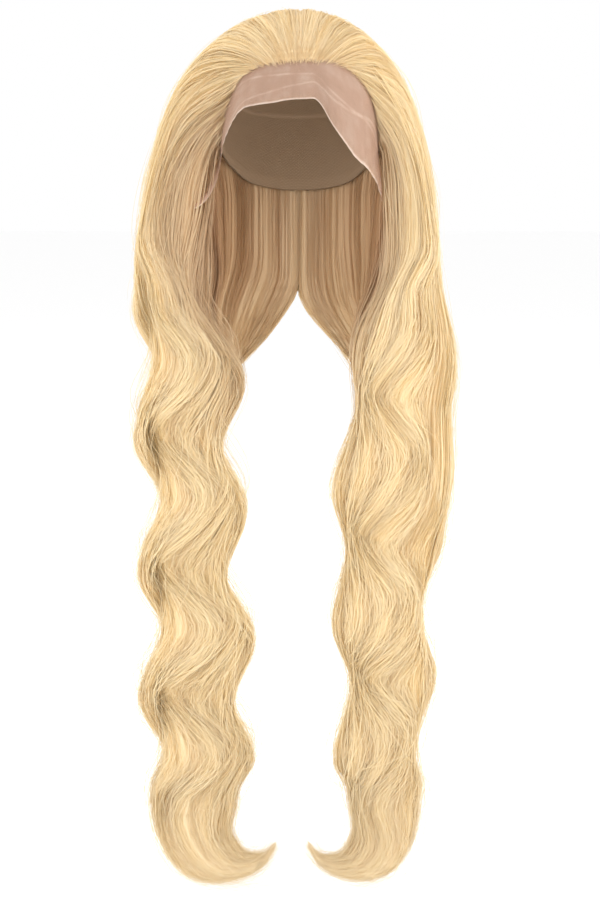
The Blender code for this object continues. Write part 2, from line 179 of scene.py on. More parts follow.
@dataclass(frozen=True)
class HairDome:
    """The outer form of the hair over the head, and the cap under it, both read by azimuth and by reach.

    Reach is 0 at the top and 1 at the rim, where the falls begin.
    """

    head: Head = field(default_factory=Head)
    top_lift: float = 0.0205
    left_lift: float = 0.074
    right_lift: float = 0.056
    back_lift: float = 0.024
    front_lift: float = 0.022
    widest: float = 0.171
    rim: float = 0.118
    fullness: float = 1.97
    seat: float = 0.0024

    def outside(self, azimuth: Array, drop: Array) -> Array:
        """A point of the outer form.

        Args:
            azimuth: Degrees from the face, below 0 on the left.
            drop: How far below the cap's top.

        Returns:
            Points in metres.
        """
        height = self.top_lift + self.widest
        level = 1 - np.clip(drop + self.top_lift, 0, height) / height
        girth = (1 - level**self.fullness) ** (1 / self.fullness)
        turn = np.radians(azimuth)
        side = self.head.breadth / 2 + np.where(azimuth < 0, self.left_lift, self.right_lift)
        end = self.head.length / 2 + np.where(np.cos(turn) > 0, self.front_lift, self.back_lift)
        return point3(side * girth * np.sin(turn), -end * girth * np.cos(turn), -drop)

    def layer(self, azimuth: Array, reach: Array, inside: Array) -> Array:
        """A point between the outer form and the cap.

        Args:
            azimuth: Degrees from the face, below 0 on the left.
            reach: 0 at the top to 1 at the rim.
            inside: 0 on the outer form to 1 on the cap.

        Returns:
            Points in metres.
        """
        height = self.top_lift + self.widest
        steepest = math.acos(1 - (self.top_lift + self.rim) / height)
        outer_drop = height * (1 - np.cos(reach * steepest)) - self.top_lift
        steepest = math.acos(1 - self.rim / self.head.drop)
        cap_drop = self.head.drop * (1 - np.cos(reach * steepest))
        outer = self.outside(azimuth, outer_drop)
        cap = self.head.point(azimuth, cap_drop, self.seat)
        return outer + (cap - outer) * inside[..., None]

    def hairline_reach(self, azimuth: Array) -> Array:
        """The reach at which the hairline lies."""
        drop = np.minimum(HAIRLINE.drop(self.head, azimuth), self.rim)
        return np.arccos(1 - drop / self.head.drop) / math.acos(1 - self.rim / self.head.drop)


@dataclass(frozen=True)
class FallTable:
    """A fall's bundle by its share of the drop, in shares of the falls' spread and forward reach."""

    drop: Row
    centre: Row
    half_width: Row
    forward: Row
    yaw: Row


LEFT_TABLE = FallTable(
    (0.00, 0.21, 0.36, 0.53, 0.77, 0.93, 1.00),
    (0.72, 0.74, 0.690, 0.68, 0.660, 0.665, 0.695),
    (0.30, 0.32, 0.300, 0.28, 0.31, 0.305, 0.29),
    (0.10, 0.40, 0.80, 0.98, 1.00, 0.97, 0.95),
    (30, 26, 18, 12, 8, 6, 5),
)
RIGHT_TABLE = FallTable(
    (0.00, 0.21, 0.36, 0.50, 0.64, 0.77, 0.93, 1.00),
    (0.64, 0.665, 0.655, 0.605, 0.553, 0.555, 0.55, 0.567),
    (0.35, 0.36, 0.36, 0.36, 0.30, 0.28, 0.265, 0.24),
    (0.10, 0.40, 0.80, 0.98, 1.00, 1.00, 0.97, 0.95),
    (30, 26, 18, 12, 9, 8, 6, 5),
)
CURL_STEP = (0.0, 0.24, 0.45, 0.60, 0.74, 0.87, 1.0)
CURL_INWARD = (0.0, 0.01, 0.20, 0.45, 0.70, 0.88, 1.0)
CURL_DOWN = (0.0, 0.48, 0.87, 1.0, 0.97, 0.86, 0.64)
CURL_WIDTH = (1.0, 0.88, 0.78, 0.54, 0.32, 0.20, 0.06)
CURL_DEPTH = (1.0, 0.92, 0.80, 0.62, 0.42, 0.27, 0.08)
CURL_TURN = (0, 8, 28, 44, 62, 76, 98)
# Places round a fall: beside the face, its front outer corner at 0, the back, and inside on the way back
FACE_PLACE, BACK_PLACE, INNER_PLACE, LAST_PLACE = -0.2, 0.5, 0.53, 0.8
LOOP_PLACE = (FACE_PLACE, 0.0, 0.22, BACK_PLACE, INNER_PLACE, LAST_PLACE)
LOOP_AZIMUTH = (96, 66, 96, 180, 180, 96)
LOOP_INSIDE = (1, 0, 0, 0, 1, 1)
LOOP_TURN = (195, 120, 0, -72, -86, -165)


@dataclass(frozen=True)
class FallForm:
    """The form of one fall: a curtain round the head that gathers into a waved bundle with a curled end."""

    side: Side
    table: FallTable
    wave: float
    crest: float
    curl_reach: float
    front_lead: float
    dome: HairDome = field(default_factory=HairDome)
    fall: float = 0.627
    spread: float = 0.150
    depth: float = 0.025
    forward: float = 0.060
    nape: float = 0.15015
    gather: float = 0.190
    back_hold: float = 0.090
    swing: float = 0.0105
    lock_swing: float = 0.027
    early_swing: float = 0.022
    wave_start: float = 0.055
    straight: float = 0.400
    curl_drop: float = 0.069
    bulge: float = 0.018
    ripple_depth: float = 0.009
    seam: float = 0.0006
    inner_seat: float = 0.0037
    sunk_turn: float = 18.0
    bulge_end: float = 120.0
    bulge_fade: float = 20.0
    back_from: float = 96.0
    rise_share: float = 0.6
    calm_from: float = 0.93
    calm_over: float = 0.07
    curl_calm: float = 0.6
    curl_rate: float = 2.5
    curl_arc: float = 1.25
    outer_straight: float = 0.3
    swing_onset: float = 0.4
    early_start: float = 0.015
    early_over: float = 0.10
    ripple_lag: float = 0.4
    ripple_skew: float = 0.5

    def phase(self, drop: Array) -> Array:
        """Phase of the wave at a drop below the cap's top."""
        return 2 * math.pi * (drop / self.wave - self.crest) - math.pi / 2

    def curtain(self, place: Array, sunk: Array, drop: Array) -> Array:
        """A point of the curtain round the head.

        Args:
            place: Where round the fall, on LOOP_PLACE.
            sunk: How far from the surface towards the middle, 0 to 1.
            drop: How far below the cap's top.

        Returns:
            Points in metres.
        """
        azimuth, level = self.rim_place(place, sunk)
        inside = np.interp(place, LOOP_PLACE, LOOP_INSIDE)
        sided = self.side.value * azimuth
        outer = self.dome.outside(sided, drop)
        inner = self.dome.head.point(sided, np.minimum(drop, self.nape), self.inner_seat)
        inner[..., 2] = outer[..., 2]
        point = outer + (inner - outer) * level[..., None]
        point[..., 1] -= self.rounding(azimuth, inside) * (1 - sunk)
        return point

    def rounding(self, azimuth: Array, inside: Array) -> Array:
        """How far the curtain rounds forwards beside the face."""
        fade = smooth((self.bulge_end - azimuth) / self.bulge_fade)
        return self.bulge * np.sin(math.pi * inside) * fade

    def wave_rise(self, drop: Array) -> Array:
        """How far the wave has set in below the rim."""
        return smooth((drop - self.dome.rim - self.wave_start) / (self.gather * self.rise_share))

    def calm(self, share: Array) -> Array:
        """How far the wave has died away before the curled end."""
        return smooth((share - self.calm_from) / self.calm_over)

    def bundle(self, place: Array, sunk: Array, drop: Array, shift: Array, gain: Array) -> Array:
        """A point of the gathered bundle, with its curled end.

        Args:
            place: Where round the fall, on LOOP_PLACE.
            sunk: How far from the surface towards the middle, 0 to 1.
            drop: How far below the cap's top, counted on along the curl.
            shift: Phase shift of the wave.
            gain: Strength of the wave across the fall.

        Returns:
            Points in metres.
        """
        share = (drop - self.dome.rim) / self.fall
        curl = np.clip((share - 1) * self.fall / self.curl_length, 0, 1)
        share = np.minimum(share, 1.0)
        t, side = self.table, self.side.value
        centre = through(share, t.drop, t.centre) * self.spread
        half = through(share, t.drop, t.half_width) * self.spread
        ahead = through(share, t.drop, t.forward) * self.forward
        yaw = np.radians(through(share, t.drop, t.yaw))
        turn = np.radians(np.interp(place, LOOP_PLACE, LOOP_TURN))
        rise = self.wave_rise(drop) * (1 - smooth(curl * self.curl_rate))
        rise = rise * (1 - self.calm(share) * self.curl_calm)
        phase = self.phase(drop) + shift
        turn = turn + side * self.lock_swing * rise * gain * np.sin(phase) * np.sin(turn) / half
        across = np.cos(turn) * half * (1 - sunk) * through(curl, CURL_STEP, CURL_WIDTH)
        front = np.sin(turn) * self.depth * (1 - sunk) * through(curl, CURL_STEP, CURL_DEPTH)
        ripple = np.sin(phase - self.ripple_lag - self.ripple_skew * side * np.cos(turn))
        front = front - self.ripple_depth * rise * ripple * (1 - 0.5 * sunk)
        turned = np.radians(through(curl, CURL_STEP, CURL_TURN))
        x = side * (centre - through(curl, CURL_STEP, CURL_INWARD) * self.curl_reach)
        z = -np.minimum(drop, self.dome.rim + self.fall)
        z = z - through(curl, CURL_STEP, CURL_DOWN) * self.curl_drop
        x = x + side * (np.cos(yaw) * np.cos(turned) * across + np.sin(yaw) * front)
        y = -ahead + np.sin(yaw) * np.cos(turned) * across - np.cos(yaw) * front
        return point3(x, y, z - np.sin(turned) * across)

    @property
    def curl_length(self) -> float:
        """Length of the curled end along its middle."""
        return self.curl_arc * self.curl_reach

    def point(self, place: Array, sunk: Array, drop: Array, shift: Array, gain: Array) -> Array:
        """A point of the fall.

        Args:
            place: Where round the fall, on LOOP_PLACE.
            sunk: How far from the surface towards the middle, 0 to 1.
            drop: How far below the cap's top, counted on along the curl.
            shift: Phase shift of the wave.
            gain: Strength of the wave across the fall.

        Returns:
            Points in metres.
        """
        azimuth = np.interp(place, LOOP_PLACE, LOOP_AZIMUTH)
        turn = np.radians(np.interp(place, LOOP_PLACE, LOOP_TURN))
        hold = self.back_hold * smooth((azimuth - self.back_from) / (180 - self.back_from))
        moved = smooth((drop - self.nape - hold) / (self.gather - hold / 2))
        share = (drop - self.dome.rim) / self.fall
        rise = self.wave_rise(drop) * (1 - self.calm(share))
        held = 0.0 if self.side is Side.LEFT else 1 - smooth((drop - self.straight) / self.wave)
        straight = held * smooth(np.cos(turn) + self.outer_straight)
        curtain = self.curtain(place, sunk, drop)
        bundle = self.bundle(place, sunk, drop, shift, gain * (1 - straight))
        early = smooth((drop - self.dome.rim - self.early_start) / self.early_over)
        early = early * (1 - moved) * smooth(np.sin(turn)) * (1 - straight)
        phase = self.phase(drop)
        curtain[..., 0] += self.early_swing * early * np.sin(phase + shift)
        curtain[..., 1] += self.ripple_depth * early * np.sin(phase + shift - self.ripple_lag)
        point = curtain + (bundle - curtain) * moved[..., None]
        sway = self.swing * rise * np.sin(phase + shift * 0.5) * moved**self.swing_onset
        point[..., 0] += sway * (1 - straight)
        nearest = self.seam / 2
        point[..., 0] = self.side.value * np.maximum(nearest, self.side.value * point[..., 0])
        return point

    def rim_place(self, place: Array, sunk: Array) -> tuple[Array, Array]:
        """Finds where the fall meets the hair over the head.

        Args:
            place: Where round the fall, on LOOP_PLACE.
            sunk: How far from the surface towards the middle, 0 to 1.

        Returns:
            Its azimuth, and its level from 0 outside to 1 inside.
        """
        azimuth = np.interp(place, LOOP_PLACE, LOOP_AZIMUTH)
        inside = np.interp(place, LOOP_PLACE, LOOP_INSIDE)
        azimuth = azimuth + self.sunk_turn * sunk * np.sin(math.pi * inside)
        return azimuth, inside + sunk * 0.5 * (1 - 2 * inside)


@dataclass
class Roots:
    """Where strands start and where in the fall they go, one value each."""

    azimuth: Array
    reach: Array
    place: Array
    near: Array
    sunk: Array
    shift: Array
    gain: Array
    end: Array
    lift: Array
    tint: Array
    width: Array
    stray: Array


@dataclass
class Ribbons:
    """Strands as flat ribbons, one row of points each, with margins for their cells of the flat layout."""

    CELL_SIDES = (0.2, 0.8)
    CELL_END = 0.05

    path: Array
    outward: Array
    width: Array
    tint: Array
    shade: Array

    def mesh(self, name: str) -> Piece:
        """Builds the ribbons as one mesh, which holds each point's tint, shade and place along its strand.

        Args:
            name: Name of the new piece.

        Returns:
            The new object, linked to the scene.
        """
        count, steps = self.width.shape
        ahead = unit(np.gradient(self.path, axis=1))
        across = unit(np.cross(ahead, self.outward))
        half = across * self.width[..., None] / 2
        points = np.stack([self.path - half, self.path + half], axis=2).reshape(-1, 3)
        first = (np.arange(count)[:, None] * steps + np.arange(steps - 1)) * 2
        faces = np.stack([first, first + 1, first + 3, first + 2], axis=-1).reshape(-1, 4)
        shape = (count, steps, 2)
        along = np.broadcast_to(np.linspace(0, 1, steps)[:, None], shape)
        columns = math.ceil(math.sqrt(count))
        cell = np.stack([np.arange(count) % columns, np.arange(count) // columns], axis=-1)[:, None, None]
        sides = np.broadcast_to(self.CELL_SIDES, shape)
        within = np.stack([sides, self.CELL_END + (1 - 2 * self.CELL_END) * along], axis=-1)
        made = mesh_object(name, points, faces)
        values = {"tint": self.tint[:, None, None], "along": along, "shade": self.shade[..., None]}
        for attribute, value in values.items():
            set_attribute(made, attribute, np.broadcast_to(value, shape))
        set_layout(made, ((cell + within) / columns).reshape(-1, 2)[faces.ravel()])
        return made


def mesh_object(name: str, points: Array, faces: Array) -> Piece:
    """Makes a smooth-shaded object.

    Args:
        name: Name of the new piece.
        points: Points by 3.
        faces: The four points of each face.

    Returns:
        The new object, linked to the scene.
    """
    data = bpy.data.meshes.new(name)
    data.vertices.add(len(points))
    data.vertices.foreach_set("co", points.astype(np.float32).ravel())
    data.loops.add(faces.size)
    data.loops.foreach_set("vertex_index", faces.astype(np.int32).ravel())
    data.polygons.add(len(faces))
    data.polygons.foreach_set("loop_start", np.arange(0, faces.size, faces.shape[1], dtype=np.int32))
    data.update(calc_edges=True)
    data.shade_smooth()
    made = bpy.data.objects.new(name, data)
    bpy.context.scene.collection.objects.link(made)
    return made


def set_attribute(made: Piece, name: str, values: Array) -> None:
    """Stores a number at each point of a mesh, for its material."""
    layer = made.data.attributes.new(name, "FLOAT", "POINT")
    layer.data.foreach_set("value", values.astype(np.float32).ravel())


def set_layout(made: Piece, corners: Array) -> None:
    """Lays a mesh out flat by a place for each corner of its faces."""
    layer = made.data.uv_layers.new(name="OFBake")
    layer.data.foreach_set("uv", corners.astype(np.float32).ravel())


def grid_object(name: str, points: Array, wrap: bool) -> Piece:
    """Makes a surface from rows of points, with a layout of 0 to 1 across and down.

    Args:
        name: Name of the new piece.
        points: Rows by columns by 3.
        wrap: Whether the last column joins the first.

    Returns:
        The new object.
    """
    rows, columns = points.shape[:2]
    bands = columns if wrap else columns - 1
    row, band = np.meshgrid(np.arange(rows - 1), np.arange(bands), indexing="ij")
    corner_row = np.stack([row, row, row + 1, row + 1], axis=-1)
    corner_column = np.stack([band, band + 1, band + 1, band], axis=-1)
    faces = (corner_row * columns + corner_column % columns).reshape(-1, 4)
    made = mesh_object(name, points.reshape(-1, 3), faces)
    layout = np.stack([corner_column / bands, corner_row / (rows - 1)], axis=-1).reshape(-1, 2)
    set_layout(made, LAYOUT_MARGIN + (1 - 2 * LAYOUT_MARGIN) * layout)
    return made


class Value:
    """A number that changes over a surface, with the operators that the finishes use."""

    def __init__(self, graph: "Graph", socket: bpy.types.NodeSocket) -> None:
        """Wraps a socket of a finish's graph."""
        self.graph = graph
        self.socket = socket

    def _with(self, operation: str, *values: "Value | float") -> "Value":
        """Adds a Math node."""
        settings = {"operation": operation}
        return self.graph.node("ShaderNodeMath", settings, dict(enumerate(values)))

    def __add__(self, other: "Value | float") -> "Value":
        """Adds."""
        return self._with("ADD", self, other)

    __radd__ = __add__

    def __sub__(self, other: "Value | float") -> "Value":
        """Subtracts."""
        return self._with("SUBTRACT", self, other)

    def __rsub__(self, other: float) -> "Value":
        """Subtracts from a number."""
        return self._with("SUBTRACT", other, self)

    def __mul__(self, other: "Value | float") -> "Value":
        """Multiplies."""
        return self._with("MULTIPLY", self, other)

    __rmul__ = __mul__

    def __pow__(self, other: float) -> "Value":
        """Raises to a power."""
        return self._with("POWER", self, other)

    def clamped(self) -> "Value":
        """Keeps the number from 0 to 1."""
        return self._with("MINIMUM", self._with("MAXIMUM", self, 0.0), 1.0)

    def folded(self) -> "Value":
        """The distance of the number from the nearest whole one, doubled."""
        return self._with("PINGPONG", self, 0.5) * 2.0


class Graph:
    """The nodes of one material."""

    def __init__(self, name: str) -> None:
        """Starts a material with a Principled shader.

        Args:
            name: The material's name.
        """
        self.material = bpy.data.materials.new(name)
        self.material.use_nodes = True
        self.tree = self.material.node_tree
        self.shader = self.tree.nodes["Principled BSDF"]

    def node(self, kind: str, settings: dict, inputs: dict, output: int | str = 0) -> Value:
        """Adds a node.

        Args:
            kind: The node's type.
            settings: What is set on it first, with a ramp's stops as stops.
            inputs: A value or link for each named or numbered socket.
            output: The socket to go on from.

        Returns:
            That socket, wrapped.
        """
        made = self.tree.nodes.new(kind)
        for name, setting in settings.items():
            if name == "stops":
                ramp = made.color_ramp
                while len(ramp.elements) < len(setting):
                    ramp.elements.new(0.5)
                for element, (place, colour) in zip(ramp.elements, setting):
                    element.position = place
                    element.color = colour
            else:
                setattr(made, name, setting)
        for name, value in inputs.items():
            self.feed(made.inputs[name], value)
        return Value(self, made.outputs[output])

    def feed(self, socket: bpy.types.NodeSocket, value: "Value | float | Colour") -> None:
        """Links or sets a socket.

        Args:
            socket: The socket to feed.
            value: What to link to it or set on it.
        """
        if isinstance(value, Value):
            self.tree.links.new(value.socket, socket)
        else:
            socket.default_value = value

    def attribute(self, name: str) -> Value:
        """A number stored on the mesh."""
        return self.node("ShaderNodeAttribute", {"attribute_name": name}, {}, "Fac")

    def flat_place(self) -> Value:
        """The mesh's own flat layout."""
        return self.node("ShaderNodeUVMap", {"uv_map": "OFBake"}, {})

    def flat_axis(self, axis: int) -> Value:
        """The place across the flat layout, axis 0, or down it, axis 1."""
        return self.node("ShaderNodeSeparateXYZ", {}, {0: self.flat_place()}, axis)

    def threads(self, across: float, down: float) -> tuple[Value, Value]:
        """Two sets of threads that cross, by how many there are each way."""
        one, other = self.flat_axis(0) * across, self.flat_axis(1) * down
        return (one + other).folded(), (one - other).folded()

    def noise(self, across: float, down: float) -> Value:
        """Soft random numbers about 0.5, on the stretched flat layout.

        Args:
            across: How much the layout is stretched across.
            down: How much it is stretched down.

        Returns:
            The numbers.
        """
        factors = {0: self.flat_place(), 1: (across, down, 1.0)}
        at = self.node("ShaderNodeVectorMath", {"operation": "MULTIPLY"}, factors)
        return self.node("ShaderNodeTexNoise", {}, {"Vector": at, "Scale": 1.0, "Detail": 3.0}, "Fac")

    def ramp(self, factor: Value, stops: list[tuple[float, Colour]]) -> Value:
        """A colour for each number."""
        return self.node("ShaderNodeValToRGB", {"stops": stops}, {0: factor}, "Color")

    def mix(self, factor: "Value | float", a: "Value | Colour", b: "Value | Colour") -> Value:
        """Mixes two colours.

        Args:
            factor: Share of the second.
            a: The first.
            b: The second.

        Returns:
            The mix.
        """
        made = self.tree.nodes.new("ShaderNodeMix")
        made.data_type = "RGBA"
        for socket, value in zip((made.inputs[0], made.inputs[6], made.inputs[7]), (factor, a, b)):
            self.feed(socket, value)
        return Value(self, made.outputs[2])

    def bump(self, height: Value, distance: float) -> Value:
        """A normal from a height."""
        return self.node("ShaderNodeBump", {}, {"Height": height, "Distance": distance}, "Normal")

    def finish(self, **inputs: "Value | float | Colour") -> bpy.types.Material:
        """Feeds the shader.

        Args:
            **inputs: A value or link for each of the shader's sockets, with _ for a space in its name.

        Returns:
            The material.
        """
        for name, value in inputs.items():
            self.feed(self.shader.inputs[name.replace("_", " ")], value)
        return self.material

    def let_through(self, share: float, colour: Value) -> None:
        """Lets a share of the light through the surface.

        Args:
            share: How much is let through.
            colour: The colour that it takes on.
        """
        behind = self.node("ShaderNodeBsdfTranslucent", {}, {"Color": colour})
        surfaces = {0: share, 1: Value(self, self.shader.outputs[0]), 2: behind}
        both = self.node("ShaderNodeMixShader", {}, surfaces)
        self.feed(self.tree.nodes["Material Output"].inputs["Surface"], both)


@dataclass(frozen=True)
class HairFinish:
    """Bleached blond hair: cream lengths, golden tones, darker roots that are partly painted shade, and brown
    painted shade.
    """

    cream: Colour = (0.95, 0.84, 0.60, 1.0)
    blond: Colour = (0.92, 0.78, 0.51, 1.0)
    gold: Colour = (0.88, 0.71, 0.44, 1.0)
    # Root colour; near the roots it also stands in for painted shade at the hairline.
    root: Colour = (0.80, 0.60, 0.35, 1.0)
    # Painted shade: the brown that hair in shade is mixed towards.
    painted_shade_brown: Colour = (0.47, 0.25, 0.12, 1.0)
    tip: Colour = (0.78, 0.66, 0.46, 1.0)
    roughness: float = 0.42
    through: float = 0.40
    specular: float = 0.4
    relief: float = 0.0004
    grain_tint: float = 0.25
    root_rate: float = 20.0
    root_and_shade_share: float = 0.38
    tip_from: float = 0.78
    tip_rate: float = 4.5
    tip_share: float = 0.6

    def strands(self, name: str) -> bpy.types.Material:
        """The finish of ribbons, each with its own tint.

        Args:
            name: The material's name.

        Returns:
            The material.
        """
        graph = Graph(name)
        tint, along = graph.attribute("tint"), graph.attribute("along")
        grain = graph.noise(180.0, 40.0)
        shade = (tint + (grain - 0.5) * self.grain_tint).clamped()
        body = graph.ramp(shade, [(0.0, self.gold), (0.45, self.blond), (1.0, self.cream)])
        # Darker near the root: partly the hair's own darker roots, partly painted shade under the hair at the
        # hairline.
        root_tone_and_shade = (1 - along * self.root_rate).clamped()
        colour = graph.mix(root_tone_and_shade * self.root_and_shade_share, body, self.root)
        colour = graph.mix(self.near_tip(along), colour, self.tip)
        # Painted shade: mixes the strands towards brown where the shade attribute says they lie in shade.
        colour = graph.mix(graph.attribute("shade"), colour, self.painted_shade_brown)
        graph.let_through(self.through, colour)
        roughness = self.roughness + 0.1 * grain
        return graph.finish(Base_Color=colour, Roughness=roughness, Specular_IOR_Level=self.specular)

    def near_tip(self, along: Value) -> Value:
        """Share of the duller tip colour, by place along the hair."""
        return ((along - self.tip_from) * self.tip_rate).clamped() * self.tip_share

    def mass(self, name: str, tipped: bool) -> bpy.types.Material:
        """The finish of the hair that shows between the strands, streaked along its flow.

        Args:
            name: The material's name.
            tipped: Whether the hair ends in its tips.

        Returns:
            The material.
        """
        graph = Graph(name)
        fine = graph.noise(520.0, 5.0)
        broad = graph.noise(60.0, 2.0)
        streak = (fine * 0.6 + broad * 0.7 - 0.15).clamped()
        colour = graph.ramp(streak, [(0.12, self.root), (0.35, self.gold), (0.65, self.blond)])
        if tipped:
            colour = graph.mix(self.near_tip(graph.flat_axis(1)), colour, self.tip)
        # Painted shade: mixes the body of hair towards brown where the shade attribute says it lies in shade.
        colour = graph.mix(graph.attribute("shade"), colour, self.painted_shade_brown)
        relief = graph.bump(fine, self.relief)
        return graph.finish(Base_Color=colour, Roughness=self.roughness + 0.15 * fine, Normal=relief)


@dataclass(frozen=True)
class LaceFinish:
    """Sheer nude lace: a fine net that lets most of what is behind it show."""

    thread: Colour = (0.92, 0.60, 0.45, 1.0)
    pale: Colour = (0.97, 0.81, 0.68, 1.0)
    cover: float = 0.34
    thread_cover: float = 0.34
    light_cover: float = 0.35
    cloud_cover: float = 0.2
    side_cover: float = 0.4
    crease_light: float = 0.4
    folds: tuple[tuple[float, float], ...] = ((0.52, 0.10), (1.02, -0.55))
    crease_sharpness: float = 2200.0
    hem_from: float = 0.955
    hem_rate: float = 40.0
    cells_across: float = 300.0
    cells_down: float = 110.0
    roughness: float = 0.8
    specular: float = 0.15
    relief: float = 0.0003

    def crease(self, across: Value, down: Value, start: float, slope: float) -> Value:
        """A faint line where the lace was folded."""
        off = down - across * slope - start
        return (1 - off * off * self.crease_sharpness).clamped()

    def net(self, name: str) -> bpy.types.Material:
        """The lace's finish, denser at its uncut edge.

        Args:
            name: The material's name.

        Returns:
            The material.
        """
        graph = Graph(name)
        across, down = graph.flat_axis(0), graph.flat_axis(1)
        one, other = graph.threads(self.cells_across, self.cells_down)
        net = (one**3.0 + other**3.0).clamped()
        hem = ((down - self.hem_from) * self.hem_rate).clamped()
        cloud = graph.noise(16.0, 5.0)
        one_crease, other_crease = (self.crease(across, down, *fold) for fold in self.folds)
        light = (hem + (one_crease + other_crease) * cloud * self.crease_light).clamped()
        beside = (across - 0.5) * (across - 0.5) * 4.0
        cover = net * self.thread_cover + self.cover + light * self.light_cover
        cover = (cover + (cloud - 0.5) * self.cloud_cover + beside**3.0 * self.side_cover).clamped()
        colour = graph.mix((light * 0.8 + (cloud - 0.45)).clamped(), self.thread, self.pale)
        look = {"Roughness": self.roughness, "Specular_IOR_Level": self.specular}
        return graph.finish(Base_Color=colour, Alpha=cover, Normal=graph.bump(net, self.relief), **look)


@dataclass(frozen=True)
class CapFinish:
    """Soft elastic net over a woven lining, seen from inside through the face opening."""

    thread: Colour = (0.60, 0.42, 0.27, 1.0)
    hollow: Colour = (0.36, 0.24, 0.14, 1.0)
    cells: float = 170.0
    seams: float = 6.0
    seam_sharpness: float = 12.0
    roughness: float = 0.9
    relief: float = 0.0008

    def net(self, name: str) -> bpy.types.Material:
        """The cap's finish.

        Args:
            name: The material's name.

        Returns:
            The material.
        """
        graph = Graph(name)
        one, other = graph.threads(self.cells * 2, self.cells)
        net = (one * other * 2.0).clamped()
        seam = (1 - (graph.flat_axis(1) * self.seams).folded() * self.seam_sharpness).clamped()
        colour = graph.mix((net + seam).clamped(), self.hollow, self.thread)
        relief = graph.bump(net + seam, self.relief)
        return graph.finish(Base_Color=colour, Roughness=self.roughness, Normal=relief)


@dataclass(frozen=True)
class Scatter:
    """Standard deviations of the random draws, for whole locks and for the strands of one."""

    lock_azimuth: float = 10.0
    lock_reach: float = 0.008
    lock_shift: float = 0.25
    lock_gain: float = 0.15
    lock_tint: float = 0.075
    azimuth: float = 2.2
    reach: float = 0.012
    place: float = 0.012
    sunk: float = 0.02
    shift: float = 0.05
    gain: float = 0.03
    end: float = 0.015
    lift: float = 0.07
    tint: float = 0.05


